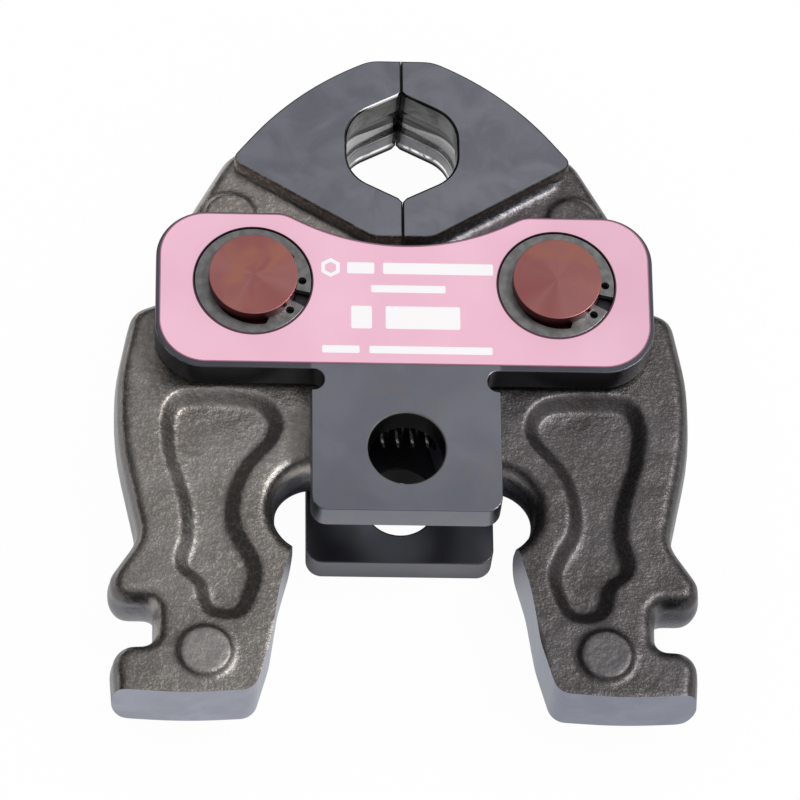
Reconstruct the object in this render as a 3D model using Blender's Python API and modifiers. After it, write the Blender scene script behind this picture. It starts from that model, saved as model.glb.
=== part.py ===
"""Press fitting tool jaw: two forged levers that turn on pins between two T-shaped plates.

The jaw lies on its back plate: +Z points out of its front plate, +Y to the pressing head
and -Y to the arms. Outlines are drawn in the pin frame, where x is measured from the plane
between the levers and y from the line through both pins; HOME moves them to the model's
origin, which is below the middle of the whole jaw.
"""

import math

import bmesh
import bpy
from mathutils import Matrix, Vector

# Pins and the pressing head, in metres
PIN_SPACING = 0.0555
PIN_RADIUS = 0.0081
PIN_PROUD = 0.0024
PIN_CHAMFER = 0.0004
PIN_HEAD_RADIUS = 0.0104
PIN_HEAD_THICKNESS = 0.0027
OPENING_ANGLE = math.radians(15)

# Plates
PLATE_THICKNESS = 0.0066
PLATE_SPACE = 0.0168
PLATE_END = 0.01775
PLATE_TOP = 0.0139
PLATE_BOTTOM = 0.0178
PLATE_CORNER = 0.0093
PLATE_EDGE = 0.0004
DIP_BOTTOM = 0.0077
DIP_RADIUS = 0.0416
DIP_SLOPE = math.radians(27.2)
DIP_SHOULDER = 0.006
TONGUE_WIDTH = 0.0343
TONGUE_END = 0.0458
TONGUE_CORNER = 0.003
UNDERCUT_RADIUS = 0.00205
UNDERCUT_DEPTH = 0.00235
UNDERCUT_LIP = 0.0003
BOLT_RADIUS = 0.007
BOLT_LINE = 0.0334
BOLT_CHAMFER = 0.0007

# Retaining rings, which sit in counterbores of the front plate
COUNTERBORE_RADIUS = 0.01075
COUNTERBORE_DEPTH = 0.00195
RING_THICKNESS = 0.0013
RING_OUTER = 0.0106
RING_BITE = 0.0078
RING_RELIEF = 0.009
RING_GAP_ANGLE = math.radians(-19)
RING_GAP_HALF = math.radians(8)
RING_LUG_END = math.radians(48)
RING_RELIEF_START = math.radians(54)
RING_RELIEF_END = math.radians(140)
RING_HOLE_RADIUS = 0.00075
RING_HOLE_CIRCLE = 0.009
RING_HOLE_ANGLE = math.radians(20)
GROOVE_FLOOR = 0.0075

# Label foil on the front plate
LABEL_THICKNESS = 0.0003
LABEL_TOP_BORDER = 0.0003
LABEL_SIDE_BORDER = 0.0007
LABEL_BOTTOM_BORDER = 0.0011

# Levers: forging, with draft from the parting plane, and machined faces
LEVER_THICKNESS = 0.014
FORGING_DRAFT = 0.0016
FORGING_STRAIGHT = 0.0051
FORGING_EDGE = 0.00125
FORGING_BACK = 0.0029
MACHINING_STOCK = 0.003
BOSS_RADIUS = 0.0125
PAD_RADIUS = 0.0049
PAD_HEIGHT = 0.0006
PAD_EDGE = 0.0003
POCKET_DEPTH = 0.0021
FOOT_REACH = 0.0779
FOOT_CROWN = 0.0006
CROWN_MIDDLE = 0.0115
CROWN_HALF = 0.0135
ARM_OUTER = 0.0256
NOTCH_FLOOR = 0.0175
NOTCH_FILLET = 0.0017
RELIEF_RADIUS = 0.0076
RELIEF_LINE = 0.0415
RELIEF_DEPTH = -0.0044
CAM_LIP = (-0.00765, 0.0065)
CAM_FOOT = -0.00085
FOOT_CORNER = 0.0055
STOP_END = 0.0245
STOP_FOOT = 0.003
LOBE_SWELL = 0.0002

# The arm's outer side and its lower pad, by their height above the foot
WAIST = (0.0049, 0.0301, 0.005)
LOBE_AT = 0.0221
LOBE_TOP_CORNER = 0.0042
LOBE_CORNER = 0.0032
NOTCH_FROM = 0.01695
NOTCH_TO = 0.0095
HEEL_CORNER = 0.0045
LOWER_PAD = (0.008, 0.0072)
UPPER_PAD = (0.0041, 0.017)

# The cam side as (distance out from the pin, share of the way from the relief to the foot,
# corner radius), and the stock that is machined off it
CAM_SWELL = (-0.00515, 0.291, 0.03)
CAM_SHOULDER = (-0.00365, 0.656, 0.02)
CAM_STOCK_DROP = 0.007
CAM_STOCK_KNEE = (-0.0064, 0.564)
CAM_STOCK_FOOT = -0.0038
SPLIT_STOCK_END = 0.012

# The forging's outer side as (distance in from the arm's outer line, y, corner radius)
ARM_BULGE = ((0.0005, -0.0275, 0.06), (0.0006, -0.015, 0.04))
ARM_SHOULDER = (0.0031, -0.0016, 0.0045)
NECK = ((0.0088, 0.0006, 0.0026), (0.012, 0.0158, 0.02))
HEAD_SHOULDER = ((0.0204, 0.0308, 0.008), (0.026, 0.034, 0.003))

# The recess in the arm: its end above the foot, and its rim as (distance out from the pin,
# share of the way from the plates to that end); its wall's slope is a share of that way too
POCKET_END = 0.0127
POCKET_SLOPE_SHARE = 0.0577
POCKET_RIM = ((0.002, 0.0043), (-0.0038, 0.0278), (-0.0064, 0.1239), (-0.0053, 0.2286),
              (-0.0009, 0.344), (0.0022, 0.4829), (0.0015, 0.6047), (-0.0013, 0.7094),
              (-0.0028, 0.8077), (-0.0012, 0.9252), (0.0023, 1.0), (0.0069, 0.9979),
              (0.0099, 0.9402), (0.0115, 0.8504), (0.0136, 0.765), (0.013, 0.6346),
              (0.0132, 0.5043), (0.0153, 0.3718), (0.0169, 0.1966), (0.0172, 0.1197),
              (0.0154, 0.0342), (0.0115, 0.0107))

# Pressing head and its bore
HEAD_THICKNESS = 0.0212
HEAD_REACH = 0.0486
HEAD_DRAFT = 0.0009
HEAD_STEP = 0.01195
STEP_TURN = (0.0055, 0.006)
HEAD_CORNER = (0.0315, 0.0274)
HEAD_CORNER_RADIUS = 0.0014
HEAD_SIDE = (0.0195, 0.0422, 0.06)
HEAD_TIP = (0.0058, 0.008)
HEAD_ROOT = 0.0017
ROOT_END = 0.031
ROOT_BACK = (0.024, 0.0323)
BORE_LINE = 0.03065
BORE_WIDTH = 0.0206
BORE_HEIGHT = 0.0222
BORE_SLOPE = math.radians(27)
BORE_CORNER = 0.0046
BORE_CHAMFER = 0.0006
BORE_GROOVE_WIDTH = 0.0098
BORE_GROOVE_DEPTH = 0.0016
BORE_GROOVE_SHAPE = ((0.1, 1), (0.45, 0.79), (0.73, 0.34), (1, 0))
BORE_LIP_WIDTH = 0.0008
BORE_LIP_HEIGHT = 0.0013
BORE_LIP_CORNER = 0.0004

# Spring
SPRING_LINE = 0.0232
SPRING_RADIUS = 0.0029
SPRING_WIRE = 0.0009
SPRING_TURNS = 10.4
SPRING_CLOSED_PITCH = 1.15
SPRING_SEAT_DEPTH = 0.0068

# Clearances, and how finely round forms are divided
TOUCH_GAP = 0.0003
RUNNING_GAP = 0.0001
SPLIT_GAP = 0.00015
SEAT_CLEARANCE = 0.0004
OVERCUT = 0.001
CURVE_ERROR = 0.00006
FLAT_ANGLE = math.radians(0.2)
ROUND_STEPS = 40
FINE_STEPS = 24
COIL_STEPS = 12
ROLLING_STEPS = 6
FRONT_EDGE_ANGLES = (0, 40, 90)
BACK_EDGE_ANGLES = (0, 30, 60, 90)
ROOT_ANGLES = (0, 35, 65, 90)
CROWN_SHARES = (-0.4, 0, 0.4, 1)
MERGE = 0.000001

PIN_X = PIN_SPACING / 2
STACK_HEIGHT = 2 * PLATE_THICKNESS + PLATE_SPACE
MID_Z = STACK_HEIGHT / 2
PIN_TOP = STACK_HEIGHT + PIN_PROUD
HEAD_TOP = HEAD_REACH + HEAD_DRAFT
CAM_TOP = RELIEF_LINE + RELIEF_RADIUS
FOOT_LINE = FOOT_REACH - FOOT_CROWN
CAM_LENGTH = FOOT_LINE - CAM_TOP
POCKET_LENGTH = FOOT_LINE - POCKET_END - PLATE_BOTTOM
POCKET_SLOPE = POCKET_SLOPE_SHARE * POCKET_LENGTH
HOME = Vector((0.0, (FOOT_REACH - HEAD_TOP) / 2, 0.0))
LEVER_FACE = LEVER_THICKNESS / 2
HEAD_FACE = HEAD_THICKNESS / 2
RING_FLOOR = STACK_HEIGHT - COUNTERBORE_DEPTH
RING_LOW = RING_FLOOR + TOUCH_GAP
RING_HIGH = RING_LOW + RING_THICKNESS
PIN_BORE = PIN_RADIUS + RUNNING_GAP
LEFT, RIGHT = -1, 1


def new_collection(name):
    collection = bpy.data.collections.new(name)
    bpy.context.scene.collection.children.link(collection)
    return collection


def clear_scene():
    for obj in list(bpy.data.objects):
        bpy.data.objects.remove(obj, do_unlink=True)


def material(name, colour, roughness, metallic):
    made = bpy.data.materials.new(name)
    made.use_nodes = True
    shader = made.node_tree.nodes["Principled BSDF"]
    shader.inputs["Base Color"].default_value = (*colour, 1.0)
    shader.inputs["Roughness"].default_value = roughness
    shader.inputs["Metallic"].default_value = metallic
    made.diffuse_color = (*colour, 1.0)
    return made


def rounded(corners):
    """A closed outline through (x, y, radius) corners, with an arc at each corner."""
    count = len(corners)
    spots = [Vector(corner[:2]) for corner in corners]
    ways = [(spots[(i + 1) % count] - spots[i]) for i in range(count)]
    turns = []
    for i in range(count):
        before, after = ways[i - 1], ways[i]
        turns.append(math.atan2(before.x * after.y - before.y * after.x, before.dot(after)))
    reaches = [corners[i][2] * abs(math.tan(turns[i] / 2)) for i in range(count)]
    limited = list(reaches)
    for i in range(count):
        both = reaches[i] + reaches[(i + 1) % count]
        if both > ways[i].length:
            share = 0.98 * ways[i].length / both
            for j in (i, (i + 1) % count):
                limited[j] = min(limited[j], share * reaches[j])
    outline = []
    for i in range(count):
        if limited[i] < MERGE:
            outline.append(tuple(spots[i]))
            continue
        radius = limited[i] / abs(math.tan(turns[i] / 2))
        before = ways[i - 1].normalized()
        side = math.copysign(1, turns[i])
        start = spots[i] - before * limited[i]
        centre = start + Vector((-before.y, before.x)) * side * radius
        step = 2 * math.acos(1 - min(CURVE_ERROR / radius, 0.05))
        parts = max(2, math.ceil(abs(turns[i]) / step))
        for k in range(parts + 1):
            arm = (start - centre).copy()
            arm.rotate(Matrix.Rotation(turns[i] * k / parts, 2))
            outline.append(tuple(centre + arm))
    return outline


def grown(corners, distance):
    """The corners of a convex outline, moved so that each of its edges moves out by a distance."""
    spots = [Vector(corner[:2]) for corner in corners]
    moved = []
    for i, (x, y, radius) in enumerate(corners):
        before = (spots[i] - spots[i - 1]).normalized()
        after = (spots[(i + 1) % len(spots)] - spots[i]).normalized()
        first, second = Vector((before.y, -before.x)), Vector((after.y, -after.x))
        mitre = distance * (first + second) / (1 + first.dot(second))
        moved.append((x + mitre.x, y + mitre.y, radius + distance if radius else 0))
    return moved


def arc(x, y, radius, start, end, parts):
    """Points from one angle to another on a circle about (x, y)."""
    angles = [start + (end - start) * i / parts for i in range(parts + 1)]
    return [(x + radius * math.cos(a), y + radius * math.sin(a)) for a in angles]


def circle(x, y, radius, parts):
    return arc(x, y, radius, 0, math.tau * (parts - 1) / parts, parts - 1)


def smooth_loop(points, parts):
    """A closed curve through the points, with the same number of parts between each two."""
    count = len(points)
    spots = [Vector(point) for point in points]
    outline = []
    for i in range(count):
        a, b, c, d = (spots[(i + k) % count] for k in (-1, 0, 1, 2))
        for k in range(parts):
            t = k / parts
            spot = (2 * b + (c - a) * t + (2 * a - 5 * b + 4 * c - d) * t ** 2
                    + (3 * b - a - 3 * c + d) * t ** 3) / 2
            outline.append(tuple(spot))
    return outline


def sided(outline, side):
    """The outline as drawn for the right lever, or mirrored for the left one."""
    if side == RIGHT:
        return outline
    return [(-x, y) for x, y in reversed(outline)]


def add_object(name, mesh, group):
    obj = bpy.data.objects.new(name, mesh)
    group.objects.link(obj)
    if group is cutters:
        obj.hide_render = True
        obj.display_type = "WIRE"
    return obj


def from_bmesh(name, bm, group, place):
    bmesh.ops.recalc_face_normals(bm, faces=bm.faces[:])
    mesh = bpy.data.meshes.new(name)
    bm.to_mesh(mesh)
    bm.free()
    obj = add_object(name, mesh, group)
    obj.location = place
    return obj


def curve_to_mesh(curve_object, group):
    """The curve's evaluated mesh as an object of its own, with its caps welded on."""
    bpy.context.view_layer.update()
    evaluated = curve_object.evaluated_get(bpy.context.evaluated_depsgraph_get())
    mesh = bpy.data.meshes.new_from_object(evaluated)
    bm = bmesh.new()
    bm.from_mesh(mesh)
    bmesh.ops.remove_doubles(bm, verts=bm.verts[:], dist=MERGE)
    bmesh.ops.recalc_face_normals(bm, faces=bm.faces[:])
    bm.to_mesh(mesh)
    bm.free()
    name = curve_object.name
    place = curve_object.matrix_world.copy()
    bpy.data.objects.remove(curve_object, do_unlink=True)
    obj = add_object(name, mesh, group)
    obj.matrix_world = place
    return obj


def flat_piece(name, outlines, low, high, group):
    """A plate between two heights: the first outline is its border, the others its holes."""
    curve = bpy.data.curves.new(name, "CURVE")
    curve.dimensions = "2D"
    curve.fill_mode = "BOTH"
    curve.extrude = (high - low) / 2
    for outline in outlines:
        spline = curve.splines.new("POLY")
        spline.points.add(len(outline) - 1)
        for point, (x, y) in zip(spline.points, outline):
            point.co = (x, y, 0, 1)
        spline.use_cyclic_u = True
    obj = bpy.data.objects.new(name, curve)
    group.objects.link(obj)
    obj.location = HOME + Vector((0, 0, (low + high) / 2))
    return curve_to_mesh(obj, group)


def turned(name, profile, x, y, group, steps=ROUND_STEPS):
    """A turned piece: its profile of (radius, height) runs down from the top on its axis."""
    mesh = bpy.data.meshes.new(name)
    mesh.from_pydata([(radius, 0, height) for radius, height in profile],
                     [(i, i + 1) for i in range(len(profile) - 1)], [])
    obj = add_object(name, mesh, group)
    obj.location = HOME + Vector((x, y, 0))
    screw = obj.modifiers.new("turn", "SCREW")
    screw.axis = "Z"
    screw.angle = math.tau
    screw.steps = screw.render_steps = steps
    screw.use_merge_vertices = True
    screw.merge_threshold = MERGE
    screw.use_smooth_shade = True
    return obj


def drawn_in(outline, steps, base=0.0):
    """A face whose border is drawn in and raised in steps; it stays open at its base."""
    bm = bmesh.new()
    face = bm.faces.new([bm.verts.new((x, y, base)) for x, y in outline])
    for inward, rise in steps:
        bm.normal_update()
        bmesh.ops.inset_region(bm, faces=[face], thickness=inward, depth=rise,
                               use_boundary=True, use_even_offset=True)
    return bm


def quarter_steps(width, height, degrees):
    """Steps along a quarter round: each draws the border in and raises it."""
    angles = [math.radians(a) for a in degrees]
    return [(width * (math.cos(low) - math.cos(high)), height * (math.sin(high) - math.sin(low)))
            for low, high in zip(angles, angles[1:])]


def stacked(outline, levels):
    """A closed solid through scaled copies of an outline, at (height, scale) levels."""
    bm = bmesh.new()
    height, scale = levels[0]
    face = bm.faces.new([bm.verts.new((x * scale, y * scale, height)) for x, y in outline])
    for (low, before), (high, after) in zip(levels, levels[1:]):
        grown = bmesh.ops.extrude_face_region(bm, geom=[face])["geom"]
        if height < low:
            bmesh.ops.delete(bm, geom=[face], context="FACES_ONLY")
        ring = [item for item in grown if isinstance(item, bmesh.types.BMVert)]
        face = next(item for item in grown if isinstance(item, bmesh.types.BMFace))
        ratio = after / before
        bmesh.ops.scale(bm, vec=(ratio, ratio, 1), verts=ring)
        bmesh.ops.translate(bm, vec=(0, 0, high - low), verts=ring)
    return bm


def closed_body(name, front, back, group, middle=MID_Z):
    """A closed body from two halves drawn on the same outline; a lever's is between the plates."""
    bmesh.ops.scale(back, vec=(1, 1, -1), verts=back.verts[:])
    bmesh.ops.reverse_faces(back, faces=back.faces[:])
    mesh = bpy.data.meshes.new(name + "_back")
    back.to_mesh(mesh)
    back.free()
    front.from_mesh(mesh)
    bpy.data.meshes.remove(mesh)
    bmesh.ops.remove_doubles(front, verts=front.verts[:], dist=MERGE)
    bmesh.ops.dissolve_limit(front, angle_limit=FLAT_ANGLE, verts=front.verts[:],
                             edges=front.edges[:])
    return from_bmesh(name, front, group, HOME + Vector((0, 0, middle)))


def mirrored_body(name, half, group, middle=MID_Z):
    """A closed body whose back half mirrors its front one."""
    return closed_body(name, half, half.copy(), group, middle)


def apply_tool(obj, tool, operation):
    step = obj.modifiers.new(tool.name, "BOOLEAN")
    step.operation = operation
    step.solver = "EXACT"
    step.object = tool


def set_origin(obj, point):
    """Moves an object's origin without moving its mesh or the cutters that shape it."""
    shift = point - obj.location
    obj.data.transform(Matrix.Translation(-shift))
    obj.location = point


def bar_corners(top_border, side_border, bottom_border):
    """The upper part of the T, drawn in by a border along each of its edges."""
    end = PIN_X + PLATE_END - side_border
    top = PLATE_TOP - top_border
    dip = DIP_BOTTOM - top_border
    corner = PLATE_CORNER - side_border
    vertex = dip + DIP_RADIUS - DIP_RADIUS / math.cos(DIP_SLOPE)
    shoulder = (top - vertex) / math.tan(DIP_SLOPE)
    bottom = -PLATE_BOTTOM + bottom_border
    right = [(0, vertex, DIP_RADIUS), (shoulder, top, DIP_SHOULDER),
             (end, top, corner), (end, bottom, corner)]
    return right


def plate_outline():
    """The whole T: the bar, a round undercut at each side of its root, and the tongue."""
    side = TONGUE_WIDTH / 2
    root = -PLATE_BOTTOM
    notch = side - UNDERCUT_DEPTH
    below = root - 2 * UNDERCUT_RADIUS
    right = bar_corners(0, 0, 0)
    right += [(notch, root, UNDERCUT_RADIUS), (notch, below, UNDERCUT_RADIUS),
              (side, below, UNDERCUT_LIP), (side, -TONGUE_END, TONGUE_CORNER)]
    left = [(-x, y, r) for x, y, r in reversed(right[1:])]
    return list(reversed(rounded(right + left)))


def label_outline():
    right = bar_corners(LABEL_TOP_BORDER, LABEL_SIDE_BORDER, LABEL_BOTTOM_BORDER)
    left = [(-x, y, r) for x, y, r in reversed(right[1:])]
    return list(reversed(rounded(right + left)))


def hole_cutter(name, x, y, low, high, radius, chamfer):
    """A round hole through a plate, chamfered at both faces."""
    rim = radius + chamfer
    profile = [(0, high + OVERCUT), (rim + OVERCUT, high + OVERCUT), (radius, high - chamfer),
               (radius, low + chamfer), (rim + OVERCUT, low - OVERCUT), (0, low - OVERCUT)]
    return turned(name, profile, x, y, cutters)


def stepped_cutter(name, x, y, wide, narrow, wide_from, wide_to, narrow_to):
    """A hole with a counterbore: wide from one face to its floor, then narrow to the other."""
    profile = [(0, wide_from), (wide, wide_from), (wide, wide_to),
               (narrow, wide_to), (narrow, narrow_to), (0, narrow_to)]
    if wide_from < narrow_to:
        profile.reverse()
    return turned(name, profile, x, y, cutters)


def build_plates():
    """Front and back plates: one outline, with the pins' and the locking bolt's holes."""
    plates = {"front_plate": (STACK_HEIGHT - PLATE_THICKNESS, STACK_HEIGHT),
              "back_plate": (0.0, PLATE_THICKNESS)}
    for name, (low, high) in plates.items():
        half = drawn_in(plate_outline(), [(0, PLATE_THICKNESS / 2 - PLATE_EDGE),
                                          (PLATE_EDGE, PLATE_EDGE)])
        plate = mirrored_body(name, half, parts, (low + high) / 2)
        plate.data.materials.append(black_oxide)
        bolt = hole_cutter(name + "_bolt_hole", 0, -BOLT_LINE, low, high, BOLT_RADIUS, BOLT_CHAMFER)
        apply_tool(plate, bolt, "DIFFERENCE")
        for side in (LEFT, RIGHT):
            hole_name = f"{name}_pin_hole_{'left' if side == LEFT else 'right'}"
            if name == "front_plate":
                tool = stepped_cutter(hole_name, side * PIN_X, 0, COUNTERBORE_RADIUS, PIN_BORE,
                                      high + OVERCUT, RING_FLOOR, low - OVERCUT)
            else:
                tool = stepped_cutter(hole_name, side * PIN_X, 0, PIN_HEAD_RADIUS + TOUCH_GAP,
                                      PIN_BORE, low - OVERCUT,
                                      PIN_HEAD_THICKNESS + 2 * TOUCH_GAP, high + OVERCUT)
            apply_tool(plate, tool, "DIFFERENCE")


def build_pin(name, side):
    """A turned pin: its flat head sits in the back plate, its groove takes the ring."""
    groove_low = RING_LOW - TOUCH_GAP
    groove_high = RING_HIGH + TOUCH_GAP
    profile = [(0, PIN_TOP), (PIN_RADIUS - PIN_CHAMFER, PIN_TOP),
               (PIN_RADIUS, PIN_TOP - PIN_CHAMFER), (PIN_RADIUS, groove_high),
               (GROOVE_FLOOR, groove_high), (GROOVE_FLOOR, groove_low),
               (PIN_RADIUS, groove_low), (PIN_RADIUS, PIN_HEAD_THICKNESS + TOUCH_GAP),
               (PIN_HEAD_RADIUS, PIN_HEAD_THICKNESS + TOUCH_GAP),
               (PIN_HEAD_RADIUS, TOUCH_GAP), (0, TOUCH_GAP)]
    pin = turned(name, profile, side * PIN_X, 0, parts)
    pin.data.materials.append(coppered_steel)


def ring_inner(angle):
    """Inner radius of a retaining ring, by the angle from the middle of its gap."""
    turn = abs(angle)
    if turn < RING_LUG_END or turn > RING_RELIEF_END:
        return RING_BITE
    if turn < RING_RELIEF_START:
        share = (turn - RING_LUG_END) / (RING_RELIEF_START - RING_LUG_END)
    else:
        share = (RING_RELIEF_END - turn) / (RING_RELIEF_END - RING_RELIEF_START)
    return RING_BITE + (RING_RELIEF - RING_BITE) * share


def build_ring(name, side):
    """A retaining ring with inward lugs: it bites the pin's groove at its lugs and far side."""
    x = side * PIN_X
    outer = arc(x, 0, RING_OUTER, RING_GAP_ANGLE + RING_GAP_HALF,
                RING_GAP_ANGLE + math.tau - RING_GAP_HALF, ROUND_STEPS)
    marks = (RING_GAP_HALF, RING_LUG_END, RING_RELIEF_START, RING_RELIEF_END, math.pi)
    turns = [RING_GAP_HALF]
    for start, end in zip(marks, marks[1:]):
        count = math.ceil((end - start) * ROUND_STEPS / math.tau)
        turns += [start + (end - start) * (i + 1) / count for i in range(count)]
    angles = [-turn for turn in turns] + [turn for turn in reversed(turns[:-1])]
    inner = [(x + ring_inner(a) * math.cos(RING_GAP_ANGLE + a),
              ring_inner(a) * math.sin(RING_GAP_ANGLE + a)) for a in angles]
    holes = []
    for turn in (-RING_HOLE_ANGLE, RING_HOLE_ANGLE):
        angle = RING_GAP_ANGLE + turn
        holes.append(circle(x + RING_HOLE_CIRCLE * math.cos(angle),
                            RING_HOLE_CIRCLE * math.sin(angle), RING_HOLE_RADIUS, FINE_STEPS // 2))
    ring = flat_piece(name, [outer + inner] + holes, RING_LOW, RING_HIGH, parts)
    ring.data.materials.append(spring_steel)


def build_label():
    low = STACK_HEIGHT + TOUCH_GAP
    holes = [circle(side * PIN_X, 0, COUNTERBORE_RADIUS, ROUND_STEPS) for side in (LEFT, RIGHT)]
    label = flat_piece("label", [label_outline()] + holes, low, low + LABEL_THICKNESS, parts)
    label.data.materials.append(pink_foil)


def stop_point(distance):
    """A point of the stop face, by its distance down the face from the pin line's foot.

    The face meets the other lever's face when both levers are open, so it lies on the
    plane between them, turned back about the pin by the opening angle.
    """
    reach = PIN_X - SPLIT_GAP
    turn = OPENING_ANGLE
    x = PIN_X - reach * math.cos(turn) + distance * math.sin(turn)
    y = -reach * math.sin(turn) - distance * math.cos(turn)
    return x, y


def cam_line(share):
    """Height of a station of the cam side, by its share of the way from the relief to the foot."""
    return -CAM_TOP - share * CAM_LENGTH


def forging_outline():
    """The right lever's forging at its parting plane, with stock on the machined faces."""
    stock = MACHINING_STOCK
    outer = PIN_X + ARM_OUTER
    notch = PIN_X + NOTCH_FLOOR
    relief = PIN_X + RELIEF_DEPTH
    relief_top = RELIEF_RADIUS - RELIEF_LINE
    stop_x, stop_y = stop_point(STOP_END)
    foot = -FOOT_REACH - stock
    inside = relief - RELIEF_RADIUS - 2 * stock
    waist, waist_up, waist_corner = WAIST
    corners = [
        (-stock, HEAD_SHOULDER[-1][1], 0),
        (-stock, -SPLIT_STOCK_END, 0),
        (stop_x - stock, stop_y, 0),
        (stop_x + STOP_FOOT, relief_top, STOP_FOOT),
        (relief, relief_top, RELIEF_RADIUS),
        (relief, -CAM_TOP, RELIEF_RADIUS),
        (inside, -CAM_TOP, 0),
        (inside, -CAM_TOP - CAM_STOCK_DROP, 0),
        (PIN_X + CAM_STOCK_KNEE[0], cam_line(CAM_STOCK_KNEE[1]), RELIEF_RADIUS),
        (PIN_X + CAM_STOCK_FOOT, foot, 0),
        (outer - LOBE_SWELL, foot, 0),
        (outer - LOBE_SWELL, NOTCH_TO - FOOT_LINE, HEEL_CORNER),
        (notch, NOTCH_TO - FOOT_LINE, NOTCH_FILLET),
        (notch, NOTCH_FROM - FOOT_LINE, NOTCH_FILLET),
        (outer, NOTCH_FROM - FOOT_LINE, LOBE_CORNER),
        (outer + LOBE_SWELL, LOBE_AT - FOOT_LINE, LOBE_TOP_CORNER),
        (outer - waist, waist_up - FOOT_LINE, waist_corner),
    ]
    for inward, y, radius in (*ARM_BULGE, ARM_SHOULDER, *NECK, *HEAD_SHOULDER):
        corners.append((outer - inward, y, radius))
    return rounded(corners)


def machined_outline():
    """What the cutters leave of the right lever: split, stop, cam and crowned foot faces."""
    clear = 2 * (FOOT_REACH + HEAD_TOP)
    lip_x, lip_y = PIN_X + CAM_LIP[0], -RELIEF_LINE - CAM_LIP[1]
    swell_x, swell_y = PIN_X + CAM_SWELL[0], cam_line(CAM_SWELL[1])
    slope = (swell_x - lip_x) / (lip_y - swell_y)
    stop_x, stop_y = stop_point(STOP_END + 2 * MACHINING_STOCK)
    rolling = arc(PIN_X, 0, PIN_X - SPLIT_GAP, math.pi, math.pi + OPENING_ANGLE,
                  ROLLING_STEPS)
    corners = [(SPLIT_GAP, clear, 0)]
    corners += [(x, y, 0) for x, y in rolling]
    corners += [(stop_x, stop_y, 0), (lip_x - slope * RELIEF_RADIUS, lip_y + RELIEF_RADIUS, 0),
                (swell_x, swell_y, CAM_SWELL[2]),
                (PIN_X + CAM_SHOULDER[0], cam_line(CAM_SHOULDER[1]), CAM_SHOULDER[2]),
                (PIN_X + CAM_FOOT, -FOOT_LINE, FOOT_CORNER)]
    for along in CROWN_SHARES:
        corners.append((PIN_X + CROWN_MIDDLE + along * CROWN_HALF,
                        -FOOT_LINE - FOOT_CROWN * (1 - along ** 2), 0))
    corners += [(clear, -FOOT_LINE, 0), (clear, clear, 0)]
    return rounded(corners)


def head_corners():
    """The right half of the pressing head's machined face, with stock at the split."""
    return [(-MACHINING_STOCK, HEAD_REACH, 0), (-MACHINING_STOCK, HEAD_STEP, 0),
            (STEP_TURN[0], HEAD_STEP, STEP_TURN[1]), (*HEAD_CORNER, HEAD_CORNER_RADIUS),
            HEAD_SIDE, (HEAD_TIP[0], HEAD_REACH, HEAD_TIP[1])]


def root_corners():
    """A flare inside the head that reaches past its step, to round the step's foot."""
    _, start, turn, corner, *_ = grown(head_corners(), HEAD_ROOT)
    share = (ROOT_END - turn[0]) / (corner[0] - turn[0])
    return [(start[0], ROOT_BACK[1], 0), start, turn,
            (ROOT_END, turn[1] + share * (corner[1] - turn[1]), 2 * HEAD_ROOT),
            (*ROOT_BACK, 2 * HEAD_ROOT)]


def root_steps():
    """Draws the flare in along a quarter round, from the arm's flat face upward."""
    return [(0, LEVER_FACE)] + quarter_steps(HEAD_ROOT, HEAD_ROOT, ROOT_ANGLES)[::-1]


def bore_outline():
    """The pressing bore where it is narrowest: upright flats, slanted sides, split tips."""
    flat = BORE_WIDTH / 2
    tip = BORE_HEIGHT / 2
    corner = tip - flat * math.tan(BORE_SLOPE)
    lip = tip - BORE_LIP_WIDTH * math.tan(BORE_SLOPE)
    right = [(0, -tip - BORE_LIP_HEIGHT + BORE_LIP_WIDTH, 0), (BORE_LIP_WIDTH, -lip, BORE_LIP_CORNER),
             (flat, -corner, BORE_CORNER), (flat, corner, BORE_CORNER),
             (BORE_LIP_WIDTH, lip, BORE_LIP_CORNER)]
    left = [(-x, -y, r) for x, y, r in right]
    return rounded(right + left)


def bore_cutter(name):
    """The bore's form along its axis: a chamfer, a land, the bead groove, and the same again."""
    upper = [(BORE_GROOVE_WIDTH / 2 * out, BORE_GROOVE_DEPTH * deep)
             for out, deep in BORE_GROOVE_SHAPE]
    upper += [(HEAD_FACE - BORE_CHAMFER, 0), (HEAD_FACE + OVERCUT, BORE_CHAMFER + OVERCUT)]
    heights = [(-z, grow) for z, grow in reversed(upper)] + upper
    levels = [(z, 1 + 2 * grow / BORE_WIDTH) for z, grow in heights]
    return from_bmesh(name, stacked(bore_outline(), levels), cutters,
                      HOME + Vector((0, BORE_LINE, MID_Z)))


def pocket_outline():
    """Rim of the recess in the right arm's flat face: broad, a waist, then a small lobe."""
    rim = [(PIN_X + x, -PLATE_BOTTOM - share * POCKET_LENGTH) for x, share in POCKET_RIM]
    return smooth_loop(rim, 2)


def pocket_cutter(name, side):
    """Both faces' recesses as one tool, each with sloped walls down to a flat floor."""
    bm = drawn_in(sided(pocket_outline(), side), [(0, -OVERCUT), (POCKET_SLOPE, -POCKET_DEPTH)],
                  LEVER_FACE + OVERCUT)
    bmesh.ops.holes_fill(bm, edges=[edge for edge in bm.edges if edge.is_boundary])
    return mirrored_body(name, bm, cutters)


def through_disc(name, x, y, radius, half_height, chamfer, steps=ROUND_STEPS):
    """A disc about the parting plane, chamfered at both rims: a boss, a pad or a bore."""
    half = [(0, half_height), (radius - chamfer, half_height)]
    if chamfer:
        half.append((radius, half_height - chamfer))
    profile = half + [(r, -z) for r, z in reversed(half)]
    disc = turned(name, profile, x, y, cutters, steps)
    disc.location.z = MID_Z
    return disc


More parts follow.
